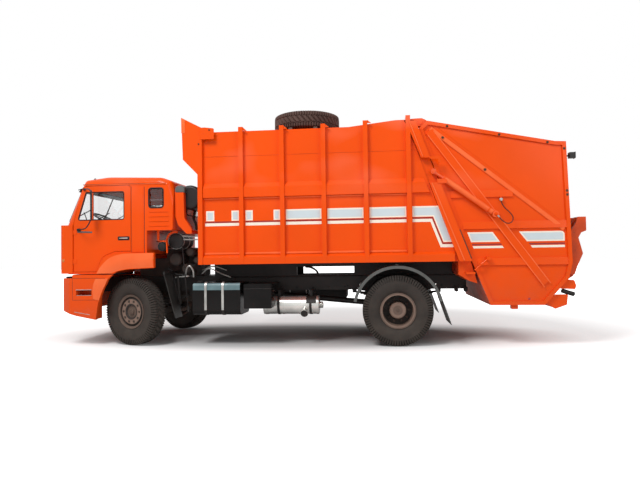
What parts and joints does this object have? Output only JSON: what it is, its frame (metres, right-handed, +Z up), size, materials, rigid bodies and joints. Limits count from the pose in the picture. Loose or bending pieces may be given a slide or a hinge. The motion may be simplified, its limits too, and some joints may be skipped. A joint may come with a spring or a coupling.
{
  "type": "rear-loading garbage truck",
  "caption": "Cab-over rear-loading garbage truck: ribbed waste body, lifting tailgate with packer and bin lifter, tilting cab, opening doors, steering and turning wheels.",
  "frame": {"origin": "centre of the footprint of the whole truck, on the ground", "axes": "+X towards the rear, +Y towards the right side, +Z up"},
  "size_m": [8.3118, 2.8362, 3.746],
  "materials": {
    "orange_paint": "gloss",
    "frame_paint": "satin",
    "wheel_paint": "matt, dusty",
    "tyre": "matt, dusty",
    "rubber": "matt",
    "cast_metal": "rough",
    "spring_steel": "satin",
    "black_plastic": "matt",
    "tank_steel": "satin",
    "silencer_steel": "brushed, heat stained",
    "rod_steel": "gloss",
    "glass": "clear",
    "lamp_plastic": "clear lens",
    "tail_lamp_plastic": "red and amber lens",
    "seat_fabric": "woven"
  },
  "bodies": {
    "chassis": {"air_filter": "black_plastic", "battery_box": "black_plastic", "body_hoops": "orange_paint", "body_panels": "orange_paint", "body_sides": "orange_paint", "brackets": "frame_paint", "chassis_frame": "frame_paint", "driveshaft": "cast_metal", "engine": "cast_metal", "front_axle": "cast_metal", "front_bumper": "orange_paint", "fuel_tank": "tank_steel", "head_lamps": "lamp_plastic", "intake_drum": "black_plastic", "intake_duct": "orange_paint", "leaf_springs": "spring_steel", "mudguards": "rubber", "rear_axle": "cast_metal", "rear_frame": "orange_paint", "side_tanks": "tank_steel", "silencer": "silencer_steel", "spare_carrier": "wheel_paint", "spare_tyre": "tyre", "sub_frame": "frame_paint"},
    "cab": {"cab_shell": "orange_paint", "cab_panels": "orange_paint", "cab_glass": "glass", "dashboard": "black_plastic", "seats": "seat_fabric"},
    "door_left": {"door_left": "orange_paint", "door_glass_left": "glass", "mirror_left": "black_plastic"},
    "knuckle_left": {"knuckle_left": "cast_metal"},
    "wheel_front_left": {"tyre_front_left": "tyre", "rim_front_left": "wheel_paint"},
    "wheel_rear_left": {"tyres_rear_left": "tyre", "rims_rear_left": "wheel_paint"},
    "lift_barrel_left": {"lift_barrel_left": "rod_steel"},
    "lift_rod_left": {"lift_rod_left": "rod_steel"},
    "door_right": {"door_right": "orange_paint", "door_glass_right": "glass", "mirror_right": "black_plastic"},
    "knuckle_right": {"knuckle_right": "cast_metal"},
    "wheel_front_right": {"tyre_front_right": "tyre", "rim_front_right": "wheel_paint"},
    "wheel_rear_right": {"tyres_rear_right": "tyre", "rims_rear_right": "wheel_paint"},
    "lift_barrel_right": {"lift_barrel_right": "rod_steel"},
    "lift_rod_right": {"lift_rod_right": "rod_steel"},
    "tailgate": {"gate_sides": "orange_paint", "gate_cover": "orange_paint", "gate_hopper": "orange_paint", "gate_frame": "orange_paint", "gate_lamps": "tail_lamp_plastic", "hose_gate_left": "rubber", "hose_gate_right": "rubber"},
    "packer_carriage": {"packer_carriage": "orange_paint"},
    "packer_blade": {"packer_blade": "orange_paint"},
    "bin_lifter": {"bin_lifter": "orange_paint"}
  },
  "joints": [
    {"name": "steer_left", "type": "hinge", "parent": "chassis", "child": "knuckle_left", "pos_m": [-2.84, -0.865, 0.543], "axis": [0, 0, 1], "range_deg": [-12, 52]},
    {"name": "roll_front_left", "type": "hinge", "parent": "knuckle_left", "child": "wheel_front_left", "pos_m": [-2.89062, -1.00407, 0.543], "axis": [0.342, 0.9397, 0], "continuous": true},
    {"name": "roll_rear_left", "type": "hinge", "parent": "chassis", "child": "wheel_rear_left", "pos_m": [1.36, -0.886, 0.543], "axis": [0, 1, 0], "continuous": true},
    {"name": "door_left_swing", "type": "hinge", "parent": "cab", "child": "door_left", "pos_m": [-3.869, -1.173, 1.9], "axis": [0, 0, -1], "range_deg": [0, 70]},
    {"name": "steer_right", "type": "hinge", "parent": "chassis", "child": "knuckle_right", "pos_m": [-2.84, 0.865, 0.543], "axis": [0, 0, 1], "range_deg": [-12, 52]},
    {"name": "roll_front_right", "type": "hinge", "parent": "knuckle_right", "child": "wheel_front_right", "pos_m": [-2.78938, 1.00407, 0.543], "axis": [0.342, 0.9397, 0], "continuous": true},
    {"name": "roll_rear_right", "type": "hinge", "parent": "chassis", "child": "wheel_rear_right", "pos_m": [1.36, 0.886, 0.543], "axis": [0, 1, 0], "continuous": true},
    {"name": "door_right_swing", "type": "hinge", "parent": "cab", "child": "door_right", "pos_m": [-3.869, 1.173, 1.9], "axis": [0, 0, 1], "range_deg": [0, 70]},
    {"name": "cab_tilt", "type": "hinge", "parent": "chassis", "child": "cab", "pos_m": [-4.04, 0, 1.14], "axis": [0, -1, 0], "range_deg": [0, 50]},
    {"name": "tailgate_lift", "type": "hinge", "parent": "chassis", "child": "tailgate", "pos_m": [1.76, 0, 3.44], "axis": [0, -1, 0], "range_deg": [0, 65]},
    {"name": "barrel_swing_left", "type": "hinge", "parent": "tailgate", "child": "lift_barrel_left", "pos_m": [2.833, -1.205, 1.99], "axis": [0, -1, 0], "range_deg": [0, 11]},
    {"name": "rod_slide_left", "type": "slide", "parent": "lift_barrel_left", "child": "lift_rod_left", "axis": [-0.8031, 0, 0.5959], "range_m": [0, 0.84]},
    {"name": "barrel_swing_right", "type": "hinge", "parent": "tailgate", "child": "lift_barrel_right", "pos_m": [2.833, 1.205, 1.99], "axis": [0, -1, 0], "range_deg": [0, 11]},
    {"name": "rod_slide_right", "type": "slide", "parent": "lift_barrel_right", "child": "lift_rod_right", "axis": [-0.8031, 0, 0.5959], "range_m": [0, 0.84]},
    {"name": "packer_slide", "type": "slide", "parent": "tailgate", "child": "packer_carriage", "axis": [-0.5801, 0, 0.8146], "range_m": [0, 0.7]},
    {"name": "blade_swing", "type": "hinge", "parent": "packer_carriage", "child": "packer_blade", "pos_m": [3.06, 0, 1.64], "axis": [0, -1, 0], "range_deg": [0, 72]},
    {"name": "bin_lift", "type": "hinge", "parent": "tailgate", "child": "bin_lifter", "pos_m": [3.965, 0, 1.095], "axis": [0, 1, 0], "range_deg": [0, 95]}
  ],
  "couplings": [
    {"joint": "steer_right", "follows": "steer_left", "ratio": 1},
    {"joint": "barrel_swing_left", "follows": "tailgate_lift", "ratio": 0.15},
    {"joint": "rod_slide_left", "follows": "tailgate_lift", "m_per_rad": 0.728},
    {"joint": "barrel_swing_right", "follows": "tailgate_lift", "ratio": 0.15},
    {"joint": "rod_slide_right", "follows": "tailgate_lift", "m_per_rad": 0.728}
  ]
}
